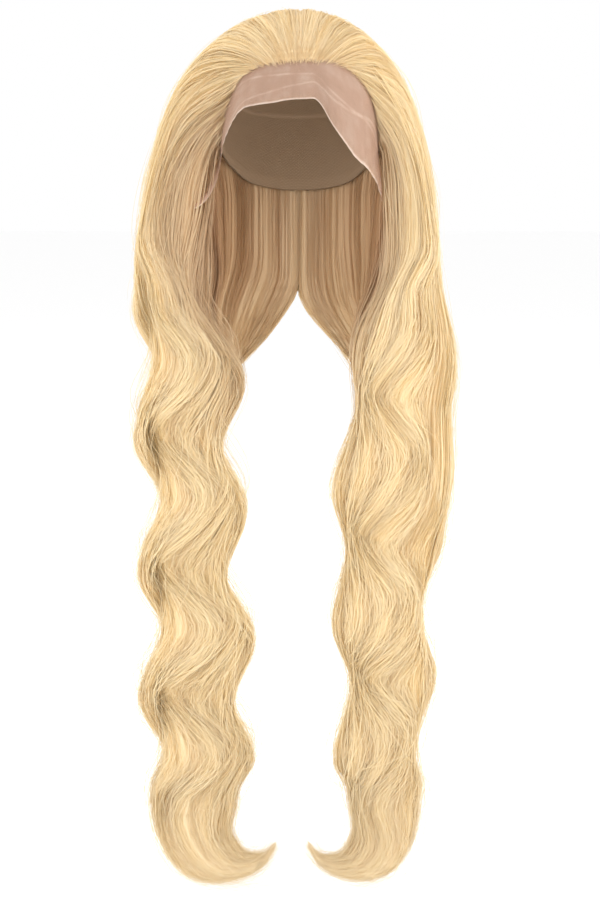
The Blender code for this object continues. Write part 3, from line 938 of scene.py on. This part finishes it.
@dataclass
class FallHair:
    """The hair of one side, from its roots in the cap and lace to the curled ends."""

    form: FallForm
    finish: HairFinish
    scatter: Scatter = field(default_factory=Scatter)
    locks: int = 90
    strands: int = 1350
    flyaways: int = 450
    head_steps: int = 14
    root_crowding: float = 1.4
    length_steps: int = 60
    hairline_share: float = 0.72
    inside_share: float = 0.10
    line_place: Row = (-0.2, -0.14, -0.10, -0.06, 0.0, 0.06, 0.17, 0.30, 0.47, 0.5, 0.53, 0.8)
    line_azimuth: Row = (90, 77, 70, 62, 56, 48, 35, 20, 3, 0, 178, 100)
    settle: float = 0.16
    ridges: float = 13.0
    groove_depth: float = 0.10
    groove_shade: float = 0.12
    shade_to: float = -0.02
    face_shade: float = 0.84
    inner_shade: tuple[float, float] = (0.45, 0.74)
    shade_start: float = 0.06
    shade_fade: float = 0.26
    tint: float = 0.58
    # Painted shade: how much lower the tint of locks inside the curtain is.
    inner_painted_shade: float = 0.35
    lock_depth: float = 0.13
    body_depth: float = 0.075
    bend: float = 0.13
    passes: int = 14
    easing: float = 0.8
    eased_above: float = 3.0
    eased_below: float = 4.5
    strand_width: float = 0.00062
    flyaway_width: float = 0.6
    flyaway_lift: float = 0.10
    stray: float = 0.0013
    way_out: float = 0.08

    def choose(self, rng: np.random.Generator, each: int, loose: float) -> Roots:
        """Chooses locks over the head and round the fall, and the strands of each.

        Args:
            rng: The seeded source of random numbers.
            each: Strands in a lock.
            loose: How widely a lock's strands spread.

        Returns:
            The roots of locks times each strands.
        """
        dome, sign, locks, scatter = self.form.dome, self.form.side.value, self.locks, self.scatter
        spread = (np.arange(locks) + rng.random(locks)) / locks
        outside = 1 - self.inside_share
        place = np.interp(spread, (0, outside, outside, 1), (FACE_PLACE, BACK_PLACE, INNER_PLACE, 0.79))
        azimuth = np.interp(place, self.line_place, self.line_azimuth)
        reach = dome.hairline_reach(sign * azimuth) + rng.normal(-0.003, scatter.lock_reach, locks)
        behind = (rng.random(locks) > self.hairline_share) & (place > 0)
        over = np.interp(place, LOOP_PLACE, LOOP_AZIMUTH) - 14 + rng.normal(0, scatter.lock_azimuth, locks)
        over = np.clip(over, 8, 176)
        edge = dome.hairline_reach(sign * over)
        azimuth = np.where(behind, over, azimuth)
        reach = np.where(behind, edge * (0.3 + 0.65 * rng.random(locks)), reach)
        near = self.nearness(place, reach)
        sunk = self.lock_depth * rng.random(locks) ** 1.2
        shift = self.lead(place) + rng.normal(0, scatter.lock_shift, locks)
        gain = 1 + rng.normal(0, scatter.lock_gain, locks)
        # Painted shade: locks inside the curtain get a lower tint, so a darker, more golden colour.
        darker = self.inner_painted_shade * (place > 0.51)
        tint = np.clip(self.tint + rng.normal(0, scatter.lock_tint, locks) - darker, 0, 1)
        count = locks * each

        def members(values: Array, deviation: float) -> Array:
            """Spreads a value of each lock over its strands."""
            return np.repeat(values, each) + rng.normal(0, deviation, count)

        spread_place = np.clip(members(place, scatter.place * loose), FACE_PLACE + 0.001, LAST_PLACE - 0.001)
        grooves = self.groove_depth * self.groove(spread_place)
        return Roots(
            azimuth=np.clip(members(azimuth, scatter.azimuth), -9.0, 178.0),
            reach=np.clip(members(reach, scatter.reach), 0.02, 1.0),
            place=spread_place,
            near=np.repeat(near, each),
            sunk=np.clip(members(sunk, scatter.sunk) + grooves, -0.03, 0.6),
            shift=members(shift, scatter.shift * loose),
            gain=members(gain, scatter.gain * loose),
            end=np.clip(
                0.985 - 0.26 * rng.random(count) ** 3.5 + rng.normal(0, scatter.end, count), 0.45, 1.0
            ),
            lift=np.clip(self.lift(np.repeat(azimuth, each)) * rng.normal(1, scatter.lift, count), 0.16, 1.2),
            tint=np.clip(members(tint, scatter.tint), 0, 1),
            width=self.strand_width * (0.7 + 0.6 * rng.random(count)),
            stray=self.stray * loose * rng.random(count) ** 2,
        )

    def below_rim(self, roots: Roots) -> Array:
        """How far along the fall below the rim each point of each strand lies."""
        total = self.form.fall + self.form.curl_length
        return np.linspace(0, 1, self.length_steps)[None, :] * roots.end[:, None] * total

    def run(self, roots: Roots, extra: float) -> Array:
        """Runs each strand from its root over the head, down the fall and round the curl.

        Args:
            roots: Where the strands start and go.
            extra: How much deeper to run them, for finding which way is out.

        Returns:
            Strands by points by 3.
        """
        form, dome, sign = self.form, self.form.dome, self.form.side.value
        sunk = roots.sunk + extra
        rim_azimuth, rim_inside = form.rim_place(roots.place, sunk)
        rounding = form.rounding(rim_azimuth, rim_inside) * (1 - sunk) * (1 - roots.near)
        rim_azimuth = rim_azimuth + (roots.azimuth + 4 - rim_azimuth) * roots.near
        rim_inside = rim_inside + (0.95 - 0.5 * sunk - rim_inside) * roots.near
        share = ((np.arange(self.head_steps) / self.head_steps) ** self.root_crowding)[None, :]
        start, stop = np.radians(roots.azimuth), np.radians(rim_azimuth)
        from_x, from_y = roots.reach * np.sin(start), -roots.reach * np.cos(start)
        to_x, to_y = np.sin(stop), -np.cos(stop)
        bend = self.bend * np.clip(1.3 - roots.azimuth / 60, 0, 1) * (roots.reach > 0.3)
        x = from_x[:, None] + (to_x - from_x)[:, None] * share
        y = from_y[:, None] + (to_y - from_y)[:, None] * share + bend[:, None] * 4 * share * (1 - share)
        reach = np.minimum(np.hypot(x, y), 1.0)
        azimuth = np.degrees(np.arctan2(x, -y))
        rooted = 1.0 + extra * 0.2
        level = rooted + (rim_inside[:, None] - rooted) * smooth(share / roots.lift[:, None])
        over = dome.layer(sign * azimuth, reach, level)
        over[..., 1] -= rounding[:, None] * smooth(share)
        down = self.below_rim(roots)
        place, sunk, shift, gain = (
            np.broadcast_to(values[:, None], down.shape)
            for values in (roots.place, sunk, roots.shift, roots.gain)
        )
        fall = form.point(place, sunk, dome.rim + down, shift, gain)
        hanging = dome.layer(sign * rim_azimuth, np.ones_like(rim_azimuth), rim_inside)[:, None]
        hanging = hanging * np.ones((1, self.length_steps, 1))
        hanging[..., 2] -= down
        held = roots.near[:, None] * (1 - smooth(down / self.settle))
        fall += (hanging - fall) * held[..., None]
        path = np.concatenate([over, fall], axis=1)
        past_rim = (np.arange(path.shape[1]) - self.head_steps)[None, 1:-1, None]
        near_rim = np.exp(-((past_rim / np.where(past_rim < 0, self.eased_above, self.eased_below)) ** 2))
        beside_face = 1 - smooth((roots.place - 0.22) / 0.16)
        near_rim = near_rim * (beside_face * (1 - 0.7 * roots.near))[:, None, None]
        for _ in range(self.passes):
            path[:, 1:-1] += near_rim * ((path[:, :-2] + path[:, 2:]) / 2 - path[:, 1:-1]) * self.easing
        return path

    def ribbons(self, rng: np.random.Generator, roots: Roots, tumble: float) -> Ribbons:
        """Makes the strands' ribbons, thin at the root and drawn out to a point.

        Args:
            rng: The seeded source of random numbers.
            roots: Where the strands start and go.
            tumble: How far the ribbons turn from lying flat on the hair.

        Returns:
            The ribbons.
        """
        path = self.run(roots, 0.0)
        outward = path - self.run(roots, self.way_out)
        count, steps = path.shape[:2]
        along = np.linspace(0, 1, steps)[None, :]
        turns = rng.uniform(2.0, 6.0, (count, 1))
        start = rng.uniform(0, 2 * math.pi, (count, 3))
        for axis in range(3):
            wander = np.sin(2 * math.pi * turns * along * (1 + 0.3 * axis) + start[:, axis : axis + 1])
            path[..., axis] += roots.stray[:, None] * wander * smooth(along * 5) * (1 + 4 * along**6)
        outward = unit(outward) + tumble * rng.normal(0, 1, (count, 1, 3))
        taper = np.minimum(1.0, 0.45 + along * 8) * np.minimum(1.0, (1.02 - along) * 7)
        return Ribbons(path, outward, roots.width[:, None] * taper, roots.tint, self.shade(roots))

    def even_roots(self, place: Array) -> Roots:
        """Roots along the hairline and the nape for a smooth body of hair.

        Args:
            place: Where round the fall each column of the body runs.

        Returns:
            The roots, without any scatter.
        """
        sign = self.form.side.value
        azimuth = np.interp(place, self.line_place, self.line_azimuth)
        reach = self.form.dome.hairline_reach(sign * azimuth) - 0.012
        same = np.ones_like(place)
        return Roots(
            azimuth=azimuth,
            reach=reach,
            place=place,
            near=self.nearness(place, reach),
            sunk=self.body_depth + self.groove_depth * self.groove(place),
            shift=self.lead(place),
            gain=same,
            end=same * 0.97,
            lift=self.lift(azimuth),
            tint=same,
            width=same,
            stray=same * 0,
        )

    def groove(self, place: Array) -> Array:
        """How far into the groove between two locks a place lies, 0 on a lock's ridge."""
        drift = 0.9 * np.sin(2 * math.pi * (2.3 * place + 0.13))
        return (0.5 - 0.5 * np.cos(2 * math.pi * self.ridges * place + drift)) ** 1.5

    def nearness(self, place: Array, reach: Array) -> Array:
        """How close to the head hair lies at the rim, 1 where its root is just above, beside the face."""
        return smooth((reach - 0.6) / 0.32) * (place < 0.1)

    def lead(self, place: Array) -> Array:
        """Phase by which the locks at the front swing ahead of the outline."""
        turn = np.radians(np.interp(place, LOOP_PLACE, LOOP_TURN))
        return self.form.front_lead * smooth(np.sin(turn) * 1.2)

    def shade(self, roots: Roots) -> Array:
        """How far painted shade darkens the hair, beside the face, behind the neck and between locks.

        Args:
            roots: Where the strands start and go.

        Returns:
            Strands by points, 0 lit to 1 deepest.
        """
        down = self.below_rim(roots)
        down = np.concatenate([np.zeros((len(down), self.head_steps)), down], axis=1)
        places = (FACE_PLACE, self.shade_to, BACK_PLACE, INNER_PLACE, LAST_PLACE)
        inside = np.interp(roots.place, places, (self.face_shade, 0.0, 0.0, *self.inner_shade))
        beside = inside[:, None] * (1 - smooth((down - self.shade_start) / self.shade_fade))
        return np.clip(beside + self.groove_shade * self.groove(roots.place)[:, None], 0, 1)

    def lift(self, azimuth: Array) -> Array:
        """Share of the way to the rim over which hair rises to its full depth."""
        return 0.30 + 0.70 * smooth((azimuth - 25) / 30)

    def body(self, name: str, first: int, last: int, outside_only: bool) -> Piece:
        """The smooth body of hair under the strands, between two of its rows.

        Args:
            name: Name of the new piece.
            first: First row, counted from the hairline.
            last: Row after the last.
            outside_only: Leaves out the inside of the curtain, for the hair over the head.

        Returns:
            The new object.
        """
        if outside_only:
            places = np.linspace(FACE_PLACE, BACK_PLACE, 57)
        else:
            places = np.linspace(FACE_PLACE, LAST_PLACE, 80, endpoint=False)
        roots = self.even_roots(places)
        rows = self.run(roots, 0.0)[:, first:last]
        made = grid_object(name, rows.transpose(1, 0, 2), wrap=not outside_only)
        set_attribute(made, "shade", self.shade(roots)[:, first:last].T)
        return made

    def build(self) -> list[Piece]:
        """Builds the side's pieces and hides the CAD part that they replace.

        Returns:
            The smooth body and three layers of strands.
        """
        side = self.form.side
        node = f"{side.name.lower()}_fall"
        rng = np.random.default_rng(SEED + side.value)
        made = [self.body(f"{node}_body", self.head_steps, self.head_steps + self.length_steps, False)]
        made[0].data.materials.append(self.finish.mass(f"{node}_body_hair", True))
        finish = self.finish.strands(f"{node}_strand_hair")
        for layer in Layer:
            loose, tumble = layer.value
            strands = self.flyaways if layer is Layer.LOOSE else self.strands
            roots = self.choose(rng, strands // self.locks, loose)
            if layer is Layer.LOOSE:
                outside = roots.place < BACK_PLACE
                roots.sunk = roots.sunk - self.flyaway_lift * rng.random(len(roots.sunk)) * outside
                roots.stray = roots.stray * outside
                roots.width = roots.width * self.flyaway_width
            piece = self.ribbons(rng, roots, tumble).mesh(f"{node}_{layer.name.lower()}_strands")
            piece.data.materials.append(finish)
            made.append(piece)
        for piece in made:
            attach(piece, "root")
            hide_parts(node)
        return made


@dataclass
class CrownHair:
    """The body of hair over the head, under the strands that sweep back from the hairline."""

    sides: tuple[FallHair, FallHair]
    finish: HairFinish

    def build(self) -> list[Piece]:
        """Builds the two halves of the crown's body from the hairline to the rim.

        Returns:
            The two halves.
        """
        made = []
        finish = self.finish.mass("crown_body_hair", False)
        for half in self.sides:
            piece = half.body(f"crown_{half.form.side.name.lower()}_body", 0, half.head_steps + 1, True)
            piece.data.materials.append(finish)
            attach(piece, "root")
            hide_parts("crown_hair")
            made.append(piece)
        return made


@dataclass
class LaceFront:
    """The sheer lace from under the hairline to its uncut edge, with a tail before each ear."""

    head: Head
    finish: LaceFinish
    columns: int = 150
    rows: int = 34
    end: float = 84.0
    lift: float = 0.0008
    flare_left: float = 0.028
    flare_right: float = 0.009
    flare_curve: float = 1.3
    tail_turn: float = 0.45
    tail_twist: float = 0.5
    twist_from: float = 73.0
    free_from: float = 0.118
    ripple: float = 0.0012
    ripple_turn: float = 24.0
    fine_ripple: float = 0.0005

    def build(self) -> list[Piece]:
        """Returns:
            The lace sheet alone.
        """
        azimuth, share = np.meshgrid(
            np.linspace(-self.end, self.end, self.columns), np.linspace(0, 1, self.rows)
        )
        top = CAP_EDGE.drop(self.head, azimuth)
        drop = top + (LACE_EDGE.drop(self.head, azimuth) - top) * share
        points = self.head.point(azimuth, drop, self.lift)
        free = np.maximum(0, drop - self.free_from) / (self.head.drop * LACE_EDGE.left[-1] - self.free_from)
        flare = np.where(azimuth < 0, self.flare_left, self.flare_right)
        twist = self.tail_twist * smooth((np.abs(azimuth) - self.twist_from) / (self.end - self.twist_from))
        points[..., 0] += np.sign(azimuth) * twist * flare * free
        flare = flare * free**self.flare_curve
        waves = self.ripple * (1 + np.sin(2 * math.pi * azimuth / self.ripple_turn))
        fine = self.fine_ripple * np.sin(azimuth * 1.3 + 2.0 * np.sin(azimuth * 0.21)) * share**3
        turn = np.radians(azimuth * self.tail_turn)
        away = point3(np.sin(turn), -np.cos(turn), np.zeros_like(turn))
        points = points + away * (flare + waves * smooth(share * 1.5 - 0.5) + fine)[..., None]
        made = grid_object("lace_sheet", points, wrap=False)
        made.data.materials.append(self.finish.net("nude_lace"))
        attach(made, "root")
        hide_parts("lace_front")
        return [made]


@dataclass
class NetCap:
    """The net cap inside the hair."""

    head: Head
    finish: CapFinish
    wall: float = 0.0014
    columns: int = 96
    rows: int = 20
    top_share: float = 0.001
    crowding: float = 1.7

    def build(self) -> list[Piece]:
        """Builds the cap with its thickness.

        Returns:
            The cap alone.
        """
        azimuth, share = np.meshgrid(
            np.linspace(-180, 180, self.columns, endpoint=False), np.linspace(self.top_share, 1, self.rows)
        )
        drop = CAP_EDGE.drop(self.head, azimuth) * share**self.crowding
        inner, outer = self.head.point(azimuth, drop), self.head.point(azimuth, drop, self.wall)
        made = grid_object("net_cap", np.concatenate([inner, outer[::-1]]), wrap=True)
        made.data.materials.append(self.finish.net("cap_net"))
        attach(made, "root")
        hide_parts("cap")
        return [made]


@dataclass
class Studio:
    """A plain pale floor in white air, soft lights and the camera at the photograph's angle."""

    floor: float = -0.88
    floor_reach: float = 12.0
    camera: Point = (0.001, -1.5, -0.10)
    aim: Point = (0.001, 0.0, -0.40)
    lens: float = 62.16
    sensor: float = 36.0
    white: Colour = (0.98, 0.98, 0.98, 1.0)
    air: Colour = (1.0, 1.0, 1.0, 1.0)
    paper_grain: float = 900.0
    paper_roughness: float = 0.85

    def lay_floor(self) -> None:
        """Lays the pale floor."""
        ends = np.array([-self.floor_reach, self.floor_reach])
        points = point3(ends[None, :], ends[:, None], self.floor)
        made = grid_object("pale_floor", points, wrap=False)
        graph = Graph("pale_paper")
        grain = graph.noise(self.paper_grain, self.paper_grain)
        roughness = self.paper_roughness + 0.1 * grain
        made.data.materials.append(graph.finish(Base_Color=self.white, Roughness=roughness))

    def aimed(self, name: str, data: bpy.types.ID, at: Point) -> Piece:
        """Adds a light or camera that points at the wig.

        Args:
            name: Name of the new object.
            data: The light or camera.
            at: Its place in metres.

        Returns:
            The new object.
        """
        made = bpy.data.objects.new(name, data)
        made.location = at
        made.rotation_euler = (Vector(self.aim) - Vector(at)).to_track_quat("-Z", "Y").to_euler()
        bpy.context.scene.collection.objects.link(made)
        return made

    def light(self, name: str, at: Point, size: float, power: float) -> None:
        """Adds a soft light that points at the wig.

        Args:
            name: Name of the light.
            at: Its place in metres.
            size: Width in metres.
            power: Power in watts.
        """
        data = bpy.data.lights.new(name, "AREA")
        data.size = size
        data.energy = power
        self.aimed(name, data, at)

    def build(self) -> None:
        """Lays the floor, sets the lights and places the camera."""
        self.lay_floor()
        self.light("key", (-0.8, -2.2, 1.0), 1.2, 20.0)
        self.light("fill", (1.6, -1.9, 0.3), 1.6, 12.5)
        self.light("left_side", (-2.1, -0.5, 0.1), 1.5, 11.0)
        self.light("right_side", (2.1, -0.6, 0.1), 1.5, 15.0)
        self.light("top", (0.0, 0.2, 1.9), 1.4, 12.0)
        world = bpy.data.worlds.new("studio_air")
        world.use_nodes = True
        background = world.node_tree.nodes["Background"]
        background.inputs["Color"].default_value = self.air
        background.inputs["Strength"].default_value = 1.0
        scene = bpy.context.scene
        scene.world = world
        scene.view_settings.view_transform = "Standard"
        data = bpy.data.cameras.new("photo_camera")
        data.lens = self.lens
        data.sensor_width = self.sensor
        scene.camera = self.aimed("photo_camera", data, self.camera)


def main() -> None:
    """Builds the wig's pieces and the stage."""
    logging.basicConfig(level=logging.INFO, format="%(message)s")
    hair, head = HairFinish(), Head()
    left = FallForm(Side.LEFT, LEFT_TABLE, wave=0.127, crest=2.0, curl_reach=0.081, front_lead=3.2)
    right = FallForm(
        Side.RIGHT, RIGHT_TABLE, wave=0.137, crest=2.036, curl_reach=0.076, front_lead=0.5, lock_swing=0.034
    )
    halves = (FallHair(left, hair, shade_to=0.05), FallHair(right, hair, shade_to=-0.08))
    makers = [NetCap(head, CapFinish()), LaceFront(head, LaceFinish()), CrownHair(halves, hair), *halves]
    for maker in makers:
        for piece in maker.build():
            LOG.info("%s: %d faces", piece.name, len(piece.data.polygons))
    Studio().build()


if __name__ == "__main__":
    main()
